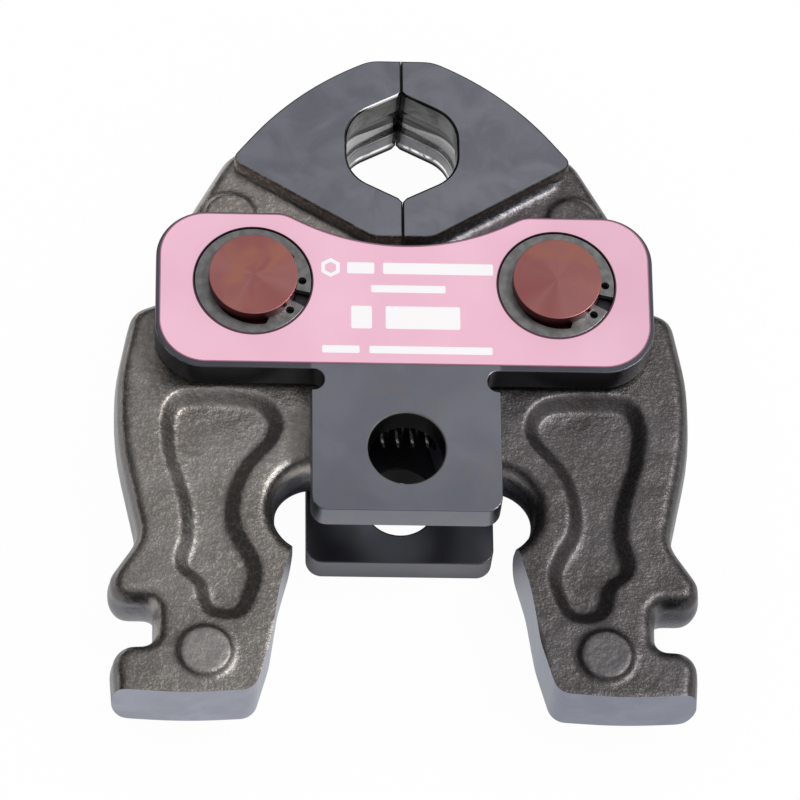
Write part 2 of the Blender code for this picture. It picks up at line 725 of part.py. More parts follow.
def stop_x_at(line):
    """Distance of the stop face from the mirror plane, on a line below the pins."""
    reach = PIN_X - SPLIT_GAP
    down = (line - reach * math.sin(OPENING_ANGLE)) / math.cos(OPENING_ANGLE)
    return stop_point(down)[0]


def seat_cutter(name, side):
    """A blind bore along X that starts in the open space and ends at the spring's seat."""
    radius = SPRING_RADIUS + SEAT_CLEARANCE
    floor = stop_x_at(SPRING_LINE) + SPRING_SEAT_DEPTH
    tool = turned(name, [(0, floor), (radius, floor), (radius, 0), (0, 0)], 0, -SPRING_LINE,
                  cutters, FINE_STEPS)
    tool.location.z = MID_Z
    tool.rotation_euler.y = side * math.pi / 2
    return tool


def build_lever(name, side):
    """A forged lever with its half of the pressing head, its arm, pivot and spring seat."""
    outline = sided(forging_outline(), side)
    front = drawn_in(outline, [(FORGING_DRAFT, FORGING_STRAIGHT)] + quarter_steps(
        FORGING_EDGE, LEVER_FACE - FORGING_STRAIGHT, FRONT_EDGE_ANGLES))
    back = drawn_in(outline, quarter_steps(FORGING_BACK, LEVER_FACE, BACK_EDGE_ANGLES))
    lever = closed_body(name, front, back, parts)
    lever.data.materials.append(forged_steel)
    head = sided(rounded(grown(head_corners(), HEAD_DRAFT)), side)
    apply_tool(lever, mirrored_body(name + "_head", drawn_in(head, [(HEAD_DRAFT, HEAD_FACE)]),
                                    cutters), "UNION")
    root = sided(rounded(root_corners()), side)
    apply_tool(lever, mirrored_body(name + "_root", drawn_in(root, root_steps()), cutters),
               "UNION")
    boss_height = PLATE_SPACE / 2 - TOUCH_GAP
    boss = through_disc(name + "_boss", side * PIN_X, 0, BOSS_RADIUS, boss_height, PAD_EDGE)
    apply_tool(lever, boss, "UNION")
    pads = (("upper", *UPPER_PAD), ("lower", LOWER_PAD[0], LOWER_PAD[1] - FOOT_LINE))
    for pad_name, x, y in pads:
        pad = through_disc(f"{name}_{pad_name}_pad", side * (PIN_X + x), y, PAD_RADIUS,
                           LEVER_FACE + PAD_HEIGHT, PAD_EDGE, FINE_STEPS)
        apply_tool(lever, pad, "UNION")
    clear = STACK_HEIGHT
    faces = stacked(sided(machined_outline(), side), [(-clear, 1), (clear, 1)])
    apply_tool(lever, from_bmesh(name + "_machining", faces, cutters, HOME + Vector((0, 0, MID_Z))),
               "INTERSECT")
    pivot = through_disc(name + "_pivot", side * PIN_X, 0, PIN_BORE, clear, 0)
    pivot.rotation_euler.z = math.pi / ROUND_STEPS  # its corners miss those of the boss
    apply_tool(lever, pivot, "DIFFERENCE")
    apply_tool(lever, bore_cutter(name + "_bore"), "DIFFERENCE")
    apply_tool(lever, seat_cutter(name + "_spring_seat", side), "DIFFERENCE")
    apply_tool(lever, pocket_cutter(name + "_pockets", side), "DIFFERENCE")
    set_origin(lever, HOME + Vector((side * PIN_X, 0, MID_Z)))


def build_spring():
    """A compression spring between the levers, with a closed turn at each end."""
    radius = SPRING_RADIUS - SPRING_WIRE / 2
    end = stop_x_at(SPRING_LINE) + SPRING_SEAT_DEPTH - TOUCH_GAP - SPRING_WIRE / 2
    closed = SPRING_CLOSED_PITCH * SPRING_WIRE
    open_turns = SPRING_TURNS - 2
    curve = bpy.data.curves.new("spring", "CURVE")
    curve.dimensions = "3D"
    curve.bevel_depth = SPRING_WIRE / 2
    curve.bevel_resolution = 2
    curve.use_fill_caps = True
    spline = curve.splines.new("POLY")
    count = round(SPRING_TURNS * COIL_STEPS)
    spline.points.add(count)
    for i, point in enumerate(spline.points):
        turn = SPRING_TURNS * i / count
        pitch = (2 * (end - closed)) / open_turns
        along = -end + closed * min(turn, 1) + pitch * min(max(turn - 1, 0), open_turns)
        along += closed * max(turn - 1 - open_turns, 0)
        angle = math.tau * turn
        point.co = (along, radius * math.cos(angle), radius * math.sin(angle), 1)
    obj = bpy.data.objects.new("spring", curve)
    parts.objects.link(obj)
    obj.location = HOME + Vector((0, -SPRING_LINE, MID_Z))
    spring = curve_to_mesh(obj, parts)
    spring.data.materials.append(spring_steel)


clear_scene()
parts = new_collection("press_jaw")
cutters = new_collection("cutters")

forged_steel = material("forged_steel", (0.055, 0.047, 0.038), 0.55, 0.6)
black_oxide = material("black_oxide", (0.06, 0.062, 0.075), 0.4, 0.8)
coppered_steel = material("coppered_steel", (0.21, 0.055, 0.04), 0.4, 0.8)
spring_steel = material("spring_steel", (0.05, 0.05, 0.052), 0.4, 0.8)
pink_foil = material("pink_foil", (0.83, 0.42, 0.51), 0.35, 0.1)

build_plates()
build_label()
build_spring()
for hand_name, hand_side in (("left", LEFT), ("right", RIGHT)):
    build_pin(hand_name + "_pin", hand_side)
    build_ring(hand_name + "_ring", hand_side)
    build_lever(hand_name + "_lever", hand_side)
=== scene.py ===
"""Looks for a press fitting tool jaw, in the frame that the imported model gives.

Pieces are drawn in millimetres in the pin frame: x from the plane between the levers, y from
the line through both pins, z from the back plate's outer face. place() then turns a piece into
metres and moves it to the frame's origin.
"""
import math

import bmesh
import bpy
from mathutils import Matrix, Vector


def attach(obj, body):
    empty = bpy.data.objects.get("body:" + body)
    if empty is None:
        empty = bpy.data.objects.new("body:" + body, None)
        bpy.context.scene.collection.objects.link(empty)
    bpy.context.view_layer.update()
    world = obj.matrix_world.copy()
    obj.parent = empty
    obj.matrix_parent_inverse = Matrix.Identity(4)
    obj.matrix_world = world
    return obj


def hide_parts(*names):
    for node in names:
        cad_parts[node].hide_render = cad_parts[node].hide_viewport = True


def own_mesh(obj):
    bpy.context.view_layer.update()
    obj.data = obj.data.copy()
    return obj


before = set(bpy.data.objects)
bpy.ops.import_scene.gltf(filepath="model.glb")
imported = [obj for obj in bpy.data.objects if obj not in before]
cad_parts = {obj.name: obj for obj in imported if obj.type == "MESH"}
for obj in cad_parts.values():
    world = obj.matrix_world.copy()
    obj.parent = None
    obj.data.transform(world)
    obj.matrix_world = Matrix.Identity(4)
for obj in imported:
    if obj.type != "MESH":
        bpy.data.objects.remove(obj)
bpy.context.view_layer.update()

# Places and sizes in millimetres
PIN_X = 27.75        # a pin's axis, from the plane between the levers
PIN_LINE = 14.2      # both pins' axes, from the frame's origin
PLATE = 6.6          # thickness of each plate
SPACE = 16.8         # room between the plates
STACK = 2 * PLATE + SPACE
MID = STACK / 2      # height of the levers' middle plane
LEVER = 7.0          # half the thickness of an arm
HEAD = 10.6          # half the thickness of the pressing head
FACE = MID + LEVER
HEAD_FACE = MID + HEAD
PIN_TOP = 32.4
BORE_LINE = 30.65    # the bore's axis, from the pin line
SPRING_LINE = -23.2  # the spring's axis, from the pin line
BOLT_LINE = -33.4    # the locking bolt's axis, from the pin line
BAR_END = -17.8      # lower end of the plates' wide bar, from the pin line
SHOULDER = -21.9     # where their tongue starts
PIN_RADIUS = 8.1
PIN_HOLE = 8.2       # radius of a pin's hole in the levers and plates
BOLT_HOLE = 7.0      # radius of the bolt's hole in the front plate
ROLLING = PIN_X - 0.15  # radius of the faces on which the levers roll
PADS = ((PIN_X + 4.1, 17.0), (PIN_X + 8.0, -70.1))  # below the head, and on the foot
PAD_RADIUS = 4.8

OPENING = math.radians(15)
SHARP_ANGLE = math.radians(30)
FRONT, BACK = 1, -1
# Steps around a full turn, for small, common and wide round forms
COARSE, ROUND, FINE = 64, 96, 128

# The studio as metal mirrors it: between two heights of the sky its light grows from the third
# value to the fourth, and it leans to the right. On everything that isn't metal it is plain.
WORLD_RISE = (0.35, 0.88, 0.05, 0.47)
WORLD_LEAN = 0.4
WORLD_PLAIN = 0.8
# Metal mirrors a white floor, but a dark one below the plates: half length, middle, half depth
SHADE = (46, -14, 32)


# Outlines

def rounded(corners, error=0.006):
    """A closed outline through (x, y, radius) corners, with an arc at each corner.

    Arcs too wide for the line between them are narrowed until they just don't meet.
    """
    count = len(corners)
    spots = [Vector(corner[:2]) for corner in corners]
    ways = [spots[(i + 1) % count] - spots[i] for i in range(count)]
    turns = [math.atan2(ways[i - 1].cross(ways[i]), ways[i - 1].dot(ways[i]))
             for i in range(count)]
    reaches = [corners[i][2] * abs(math.tan(turns[i] / 2)) for i in range(count)]
    limited = list(reaches)
    for i in range(count):
        after = (i + 1) % count
        both = reaches[i] + reaches[after]
        if both > ways[i].length:
            for j in (i, after):
                limited[j] = min(limited[j], 0.98 * ways[i].length / both * reaches[j])
    outline = []
    for i, spot in enumerate(spots):
        if limited[i] < 1e-4:
            outline.append(tuple(spot))
            continue
        radius = limited[i] / abs(math.tan(turns[i] / 2))
        before = ways[i - 1].normalized()
        start = spot - before * limited[i]
        centre = start + Vector((-before.y, before.x)) * math.copysign(radius, turns[i])
        step = 2 * math.acos(1 - min(error / radius, 0.02))
        parts = max(2, math.ceil(abs(turns[i]) / step))
        for k in range(parts + 1):
            arm = start - centre
            arm.rotate(Matrix.Rotation(turns[i] * k / parts, 2))
            outline.append(tuple(centre + arm))
    return outline


def arc(x, y, radius, start, end, parts):
    """Points along an arc about (x, y)."""
    angles = [start + (end - start) * i / parts for i in range(parts + 1)]
    return [(x + radius * math.cos(a), y + radius * math.sin(a)) for a in angles]


def smooth_loop(points, parts):
    """A closed curve through the points."""
    count = len(points)
    spots = [Vector(point) for point in points]
    outline = []
    for i in range(count):
        a, b, c, d = (spots[(i + k) % count] for k in (-1, 0, 1, 2))
        for k in range(parts):
            t = k / parts
            outline.append(tuple((2 * b + (c - a) * t + (2 * a - 5 * b + 4 * c - d) * t ** 2
                                  + (3 * b - a - 3 * c + d) * t ** 3) / 2))
    return outline


def both_sides(right):
    """A counter-clockwise outline from its right half, which runs down from the middle."""
    left = [(-x, y, r) for x, y, r in reversed(right[1:])]
    return list(reversed(rounded(right + left)))


# Solids

def moved(bm, x, y, z):
    """The mesh, shifted."""
    bmesh.ops.translate(bm, vec=(x, y, z), verts=bm.verts[:])
    return bm


def tipped(bm, axis, quarters=1):
    """The mesh after quarter turns about an axis through the origin."""
    turn = Matrix.Rotation(quarters * math.pi / 2, 3, axis)
    bmesh.ops.rotate(bm, cent=(0, 0, 0), matrix=turn, verts=bm.verts[:])
    return bm


def closed(bm):
    """The mesh with its openings filled."""
    bmesh.ops.holes_fill(bm, edges=[edge for edge in bm.edges if edge.is_boundary])
    return bm


def second_finish(bm, wanted):
    """Gives the second of the mesh's finishes to the faces that are wanted."""
    for face in bm.faces:
        face.material_index = int(wanted(face))
    return bm


def drawn_in(outline, steps, base=0.0):
    """A face whose border is drawn in and raised in steps; it stays open at its base."""
    bm = bmesh.new()
    face = bm.faces.new([bm.verts.new((x, y, base)) for x, y in outline])
    for inward, rise in steps:
        bm.normal_update()
        bmesh.ops.inset_region(bm, faces=[face], thickness=inward, depth=rise,
                               use_boundary=True, use_even_offset=True)
    return bm


def quarter(width, height, parts):
    """Steps that draw a border in along a quarter round: first up, then in."""
    angles = [math.pi / 2 * i / parts for i in range(parts + 1)]
    return [(width * (math.cos(a) - math.cos(b)), height * (math.sin(b) - math.sin(a)))
            for a, b in zip(angles, angles[1:])]


def back_to_back(front, back, middle):
    """Closes a front half by another half drawn the same way, turned to face down."""
    bmesh.ops.scale(back, vec=(1, 1, -1), verts=back.verts[:])
    bmesh.ops.reverse_faces(back, faces=back.faces[:])
    mesh = bpy.data.meshes.new("half")
    back.to_mesh(mesh)
    back.free()
    front.from_mesh(mesh)
    bpy.data.meshes.remove(mesh)
    bmesh.ops.remove_doubles(front, verts=front.verts[:], dist=1e-4)
    return moved(front, 0, 0, middle)


def mirrored(bm, middle):
    """Closes a half by its mirror image below, and lifts the middle to its height."""
    bmesh.ops.mirror(bm, geom=bm.verts[:] + bm.edges[:] + bm.faces[:],
                     matrix=Matrix.Identity(4), merge_dist=1e-4, axis="Z")
    return moved(bm, 0, 0, middle)


def prism(outline, low, high):
    """The outline, raised from one height to another."""
    bm = bmesh.new()
    face = bm.faces.new([bm.verts.new((x, y, low)) for x, y in outline])
    grown = bmesh.ops.extrude_face_region(bm, geom=[face])["geom"]
    bmesh.ops.translate(bm, vec=(0, 0, high - low),
                        verts=[item for item in grown if isinstance(item, bmesh.types.BMVert)])
    return bm


def stacked(outline, levels, centre):
    """A solid through scaled copies of an outline about a centre, at (height, scale) levels."""
    bm = bmesh.new()
    height, scale = levels[0]
    face = bm.faces.new([bm.verts.new((x * scale, y * scale, height)) for x, y in outline])
    for (low, before), (high, after) in zip(levels, levels[1:]):
        grown = bmesh.ops.extrude_face_region(bm, geom=[face])["geom"]
        if height < low:
            bmesh.ops.delete(bm, geom=[face], context="FACES_ONLY")
        ring = [item for item in grown if isinstance(item, bmesh.types.BMVert)]
        face = next(item for item in grown if isinstance(item, bmesh.types.BMFace))
        bmesh.ops.scale(bm, vec=(after / before, after / before, 1), verts=ring)
        bmesh.ops.translate(bm, vec=(0, 0, high - low), verts=ring)
    return moved(bm, *centre, 0)


def turned(profile, x, y, steps=ROUND):
    """A profile of (radius, height), spun about an upright axis at (x, y)."""
    bm = bmesh.new()
    verts = [bm.verts.new((radius, 0, height)) for radius, height in profile]
    edges = [bm.edges.new(pair) for pair in zip(verts, verts[1:])]
    bmesh.ops.spin(bm, geom=verts + edges, cent=(0, 0, 0), axis=(0, 0, 1), angle=math.tau,
                   steps=steps, use_merge=True)
    bmesh.ops.remove_doubles(bm, verts=bm.verts[:], dist=1e-5)
    return moved(bm, x, y, 0)


def disc(x, y, radius, half_height, edge=0.0):
    """A disc about the levers' middle plane, with its rims broken by a small edge."""
    half = [(0, half_height), (radius - edge, half_height)]
    half += [(radius, half_height - edge)] if edge else []
    return moved(turned(half + [(r, -z) for r, z in reversed(half)], x, y), 0, 0, MID)


def rod(x, y, radius, start, end, steps):
    """A plain rod from one height to another."""
    return turned([(0, start), (radius, start), (radius, end), (0, end)], x, y, steps)


def solid(name, bm, finishes=()):
    """An object of the mesh, with its faces outwards."""
    bmesh.ops.recalc_face_normals(bm, faces=bm.faces[:])
    mesh = bpy.data.meshes.new(name)
    bm.to_mesh(mesh)
    bm.free()
    for finish in finishes:
        mesh.materials.append(finish)
    obj = bpy.data.objects.new(name, mesh)
    bpy.context.scene.collection.objects.link(obj)
    return obj


def shape(obj, kind, **settings):
    """Adds a modifier with these settings."""
    step = obj.modifiers.new(kind.lower(), kind)
    for key, value in settings.items():
        setattr(step, key, value)


def cut(obj, name, bm, finishes, operation="DIFFERENCE"):
    """Adds a boolean step whose tool has this mesh; the new faces get the tool's finishes."""
    tool = solid(name, bm, finishes)
    tool.hide_render = True
    shape(obj, "BOOLEAN", operation=operation, solver="EXACT", material_mode="TRANSFER",
          object=tool)


def settled(obj):
    """Applies every modifier and clears the tools away."""
    bpy.context.view_layer.update()
    evaluated = obj.evaluated_get(bpy.context.evaluated_depsgraph_get())
    mesh = bpy.data.meshes.new_from_object(evaluated)
    tools = [step.object for step in obj.modifiers if step.type == "BOOLEAN"]
    obj.modifiers.clear()
    obj.data = mesh
    for tool in tools:
        bpy.data.objects.remove(tool, do_unlink=True)
    return obj


def mirror_copy(obj, name):
    """The same piece for the other side."""
    copy = bpy.data.objects.new(name, obj.data.copy())
    bpy.context.scene.collection.objects.link(copy)
    copy.data.transform(Matrix.Scale(-1, 4, (1, 0, 0)))
    copy.data.flip_normals()
    return copy


def place(obj, body, nodes, weight=80):
    """Into metres and the frame's place, then onto its body in place of its CAD nodes."""
    obj.data.transform(Matrix.Translation((0, PIN_LINE / 1000, 0)) @ Matrix.Scale(0.001, 4))
    obj.data.shade_smooth()
    obj.data.set_sharp_from_angle(angle=SHARP_ANGLE)
    shape(obj, "WEIGHTED_NORMAL", keep_sharp=True, weight=weight)
    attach(obj, body)
    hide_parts(*nodes)
    return obj


# Finishes

class Wire:
    """A shader socket: an expression on it adds the Math nodes that work it out."""

    def __init__(self, finish, socket):
        self.finish, self.socket = finish, socket

    def math(self, operation, *values):
        return self.finish.node("ShaderNodeMath", {"operation": operation}, values)

    def __add__(self, other):
        return self.math("ADD", self, other)

    __radd__ = __add__

    def __sub__(self, other):
        return self.math("SUBTRACT", self, other)

    def __rsub__(self, other):
        return self.math("SUBTRACT", other, self)

    def __mul__(self, other):
        return self.math("MULTIPLY", self, other)

    __rmul__ = __mul__

    def __truediv__(self, other):
        return self.math("DIVIDE", self, other)

    def __abs__(self):
        return self.math("ABSOLUTE", self)

    def larger(self, other):
        return self.math("MAXIMUM", self, other)

    def root(self):
        return self.math("SQRT", self)

    def ramp(self, low, high, at_low=0.0, at_high=1.0):
        """Goes smoothly from one value to the other between two inputs."""
        return self.finish.node("ShaderNodeMapRange", {"interpolation_type": "SMOOTHSTEP"},
                                {0: self, 1: low, 2: high, 3: at_low, 4: at_high})


class Finish:
    """One material about a Principled shader, on Object coordinates in millimetres."""

    def __init__(self, name, roughness=0.5, metallic=0.0, **sockets):
        self.material = bpy.data.materials.new(name)
        self.material.use_nodes = True
        self.tree = self.material.node_tree
        self.shader = self.tree.nodes["Principled BSDF"]
        self.set(Roughness=roughness, Metallic=metallic, **sockets)
        place_of = self.node("ShaderNodeTexCoord", out="Object")
        self.spot = self.node("ShaderNodeVectorMath", {"operation": "MULTIPLY_ADD"},
                              (place_of, (1000, 1000, 1000), (0, -PIN_LINE, 0)))
        self.x, self.y, self.z = (self.node("ShaderNodeSeparateXYZ", {}, (self.spot,), out=i)
                                  for i in range(3))

    def node(self, kind, settings=None, values=(), out=0):
        made = self.tree.nodes.new(kind)
        for key, value in (settings or {}).items():
            setattr(made, key, value)
        pairs = values.items() if isinstance(values, dict) else enumerate(values)
        for key, value in pairs:
            if isinstance(value, Wire):
                self.tree.links.new(value.socket, made.inputs[key])
            else:
                made.inputs[key].default_value = value
        return Wire(self, made.outputs[out])

    def set(self, **sockets):
        for key, value in sockets.items():
            socket = self.shader.inputs[key.replace("_", " ")]
            if isinstance(value, Wire):
                self.tree.links.new(value.socket, socket)
            else:
                socket.default_value = value

    def off_square(self, x, y):
        """Squared distance from an upright axis at (x, y), or its mirror image, if nearer."""
        dx, dy = abs(self.x) - x, self.y - y
        return dx * dx + dy * dy

    def noise(self, size, detail=2.0, roughness=0.5, spot=None, distortion=0.0):
        """Noise whose blobs are about this many millimetres across."""
        return self.node("ShaderNodeTexNoise", {},
                         {"Vector": spot or self.spot, "Scale": 1 / size, "Detail": detail,
                          "Roughness": roughness, "Distortion": distortion})

    def stretched(self, x, y, z):
        """The place, with each axis scaled: a small factor draws a pattern out along it."""
        return self.node("ShaderNodeVectorMath", {"operation": "MULTIPLY"},
                         (self.spot, (x, y, z)))

    def blend(self, share, low, high):
        """Between two colours, by a share from 0 to 1."""
        values = [(*c, 1.0) if isinstance(c, tuple) else c for c in (low, high)]
        return self.node("ShaderNodeMix", {"data_type": "RGBA"},
                         {0: share, 6: values[0], 7: values[1]}, out=2)

    def dimmed(self, share, colour):
        """The colour, darkened by a share from 0 to 1."""
        return self.blend(share, colour, (0, 0, 0))

    def tinted(self, colour, tint):
        """The colour times a tint."""
        return self.node("ShaderNodeMix", {"data_type": "RGBA", "blend_type": "MULTIPLY"},
                         {0: 1.0, 6: colour, 7: tint}, out=2)

    def bump(self, height, depth, under=None):
        """A Normal that stands for relief of this depth in millimetres, over another Normal."""
        values = {"Strength": 1.0, "Distance": depth / 1000, "Height": height}
        if under:
            values["Normal"] = under
        return self.node("ShaderNodeBump", {}, values)


def grey(value):
    return (value, value, value)


def forged_finish():
    """Oiled forging skin of fine grains, shallow pits and broad soft waves; the foot's pad is worn.

    It is painted darker on the flanks and along the outer edges, and the head's rounded rim is
    painted dark, all painted shade; the root of the head is darker, browner and less metallic. The
    whole right lever is painted darker, painted shade, and on it a bright strip beside that root is
    a painted highlight. The skin is also darker towards the feet and lighter towards the head.
    """
    f = Finish("forged_skin", metallic=1.0)
    grain = f.noise(0.45, 2, 0.6)
    pits = f.noise(1.1, 3, 0.6)
    waves = f.noise(7.0, 2, 0.5)
    patch = f.noise(16.0, 3, 0.55, distortion=0.6)
    head_pad, foot_pad = (f.off_square(x, y) for x, y in PADS)
    worn = foot_pad.ramp(14.0, 20.0, 1.0, 0.0)
    light = (grain * 0.5 + pits * 0.5).ramp(0.45, 0.68)
    skin = f.blend(patch.ramp(0.35, 0.65), (0.285, 0.257, 0.237), (0.36, 0.333, 0.315))
    skin = f.blend(light, skin, (0.495, 0.47, 0.445))
    skin = f.blend(worn * 0.8, skin, (0.47, 0.455, 0.45))
    # Painted shade: the flanks, and the forged walls towards the head's far end, are darkened.
    flank = f.z.ramp(MID + 2.2, MID + 4.8, 0.9, 0.0).larger(f.y.ramp(27.0, 33.0, 0.0, 0.9))
    skin = f.blend(flank, skin, (0.18, 0.183, 0.205))
    # Painted shade: the rounded outer edges of the arms are darkened.
    edge = (abs(f.x) - PIN_X).ramp(17.0, 18.5) * f.z.ramp(MID + 5.4, MID + 6.8, 0.85, 0.0)
    skin = f.blend(edge * (1.0 - flank), skin, (0.13, 0.124, 0.126))
    below_head = f.y.ramp(28.0, 31.0, 1.0, 0.0)
    # Painted highlight: a bright strip on the right lever, beside the root of the head.
    strip = f.z.ramp(FACE + 0.05, FACE + 0.3) * f.x.ramp(0.0, 6.0) * below_head
    strip = strip * f.y.ramp(3.0, 7.0) * head_pad.ramp(25.0, 32.0)
    skin = f.blend(strip, skin, f.blend(light, grey(0.4), grey(1.0)))
    root = f.z.ramp(FACE + 0.6, FACE + 1.4) * below_head
    skin = f.blend(root, skin, f.blend(light, (0.19, 0.152, 0.134), (0.5, 0.43, 0.39)))
    # Painted shade: the head's rounded rim next to its ground face is darkened.
    skin = f.dimmed(f.z.ramp(HEAD_FACE - 0.6, HEAD_FACE - 0.3, 0.0, 0.6), skin)
    # Painted shade: the whole right lever is darker than the left one.
    hand = f.blend(f.x.ramp(-1.0, 1.0), grey(1.0), (0.44, 0.44, 0.475))
    skin = f.dimmed(f.y.ramp(-72.0, -30.0, 0.18, 0.0), f.tinted(skin, hand))
    skin = f.tinted(skin, f.blend(f.y.ramp(0.0, 8.0), grey(1.0), (1.16, 1.15, 1.16)))
    f.set(Base_Color=skin, Metallic=1.0 - root * 0.5,
          Roughness=grain.ramp(0.3, 0.7, 0.3, 0.4) + patch * 0.06 + root * 0.15)
    fine = f.bump(grain * (1.0 - worn * 0.6), 0.047)
    middle = f.bump(pits, 0.09, under=fine)
    f.set(Normal=f.bump(waves, 0.4, under=middle))
    return f.material


def mating_shade_finish():
    """Faces that meet at the split, painted near black: painted shade in the crevice between the
    levers.
    """
    f = Finish("mating_face_shade", metallic=0.9)
    clouds = f.noise(3.0, 2, 0.5)
    f.set(Base_Color=f.blend(clouds, grey(0.05), grey(0.1)), Roughness=0.4 + clouds * 0.1)
    return f.material


def machined_finish():
    """Ground faces, blued by the phosphate bath, with soft clouds and faint grinding lines; the
    feet's end faces are painted lighter on the left lever and darker on the right, painted light
    and shade.
    """
    f = Finish("machined_blue", metallic=0.95)
    clouds = f.noise(9.0, 3, 0.6, distortion=0.8)
    lines = f.noise(0.5, 2, 0.6, spot=f.stretched(1, 0.03, 1))
    specks = f.noise(0.35, 2, 0.5)
    tone = f.blend(clouds.ramp(0.3, 0.7), (0.23, 0.233, 0.273), (0.297, 0.3, 0.345))
    # Painted light and shade: the left foot's end face is lighter, the right one's darker.
    foot = f.blend(f.x.ramp(-1.0, 1.0), (1.12, 1.15, 1.19), (0.82, 0.86, 0.93))
    foot = f.blend(f.y.ramp(-60.0, -50.0, 1.0, 0.0), grey(1.0), foot)
    f.set(Base_Color=f.tinted(tone, foot), Roughness=0.3 + clouds * 0.14 + lines * 0.05)
    f.set(Normal=f.bump(lines * 0.6 + specks * 0.4, 0.015))
    return f.material


def split_shade(f):
    """1 on the bore's faces, and less towards the split: painted shade in the crevice there."""
    return abs(f.x).ramp(0.5, 2.0, 0.15, 1.0)


def land_finish():
    """The bore's turned lands: smooth dark steel; the lower land is painted lighter, painted light,
    a bright stripe near the lower rim is a painted highlight, and that rim is painted dark,
    painted shade. Towards the split they are painted dark, painted shade.

    A small painted highlight stands at the upper rim, where the left lever meets the split.
    """
    f = Finish("bore_land", metallic=1.0)
    clouds = f.noise(3.5, 3, 0.6, distortion=0.8)
    rim = MID - HEAD
    # Painted highlight: a bright stripe near the lower rim.
    highlight_streak = abs(f.z - rim - 2.4).ramp(0.2, 0.7, 1.0, 0.0) * clouds.ramp(0.35, 0.55)
    tone = f.blend(clouds.ramp(0.3, 0.7), grey(0.025), grey(0.09))
    # Painted light: the lower land is lighter.
    lower = f.z.ramp(MID - 5.0, MID + 5.0, 1.0, 0.0)
    tone = f.blend(lower * 0.3, tone, (0.3, 0.3, 0.34))
    tone = f.blend(highlight_streak, tone, grey(0.95))
    # Painted shade: the lower rim is nearly black.
    low = f.z.ramp(rim + 1.0, rim + 1.6, 1.0, 0.0)
    tone = f.dimmed(low * 0.95, tone)
    # Painted highlight: a small bright spot at the upper rim, by the split on the left lever.
    top = f.z.ramp(HEAD_FACE - 0.42, HEAD_FACE - 0.38)
    painted_glint = top * f.x.ramp(-0.8, -0.3, 1.0, 0.0) * f.x.ramp(-8.0, -5.0)
    painted_glint = painted_glint * f.y.ramp(BORE_LINE, BORE_LINE + 1.0)
    tone = f.blend(painted_glint, tone, grey(0.95))
    f.set(Base_Color=f.blend(split_shade(f).larger(painted_glint), grey(0.01), tone),
          Metallic=1.0 - painted_glint * 0.6, Roughness=0.24 + clouds * 0.12 + painted_glint * 0.2 + low * 0.4)
    return f.material


def groove_finish():
    """The groove's wall with a painted highlight, a nearly white, less metallic band below its
    middle;
    its upper half is painted dark, painted shade, and so is the wall towards the split.
    """
    f = Finish("bore_groove")
    lines = f.noise(1.2, 2, 0.6, spot=f.stretched(0.1, 0.1, 2))
    # Painted highlight: this band below the groove's middle is made nearly white.
    wide = abs(f.x).ramp(2.0, 9.0, 0.5, 1.2)
    worn = (abs(f.z - MID + 2.9 - lines * 0.8) / wide).ramp(0.4, 1.2, 1.0, 0.0)
    worn = worn * split_shade(f)
    # Painted shade: the groove's upper half is dark.
    upper = f.z.ramp(MID - 3.0, MID - 1.5)
    tone = f.blend(lines.ramp(0.3, 0.7), grey(0.2), grey(0.45))
    tone = f.blend(upper, tone, f.blend(lines.ramp(0.4, 0.6), grey(0.02), grey(0.07)))
    tone = f.blend(worn, f.blend(split_shade(f), grey(0.02), tone), grey(1.0))
    f.set(Base_Color=tone, Metallic=1.0 - worn * 0.9, Roughness=0.14 + lines * 0.14 + worn * 0.1)
    return f.material


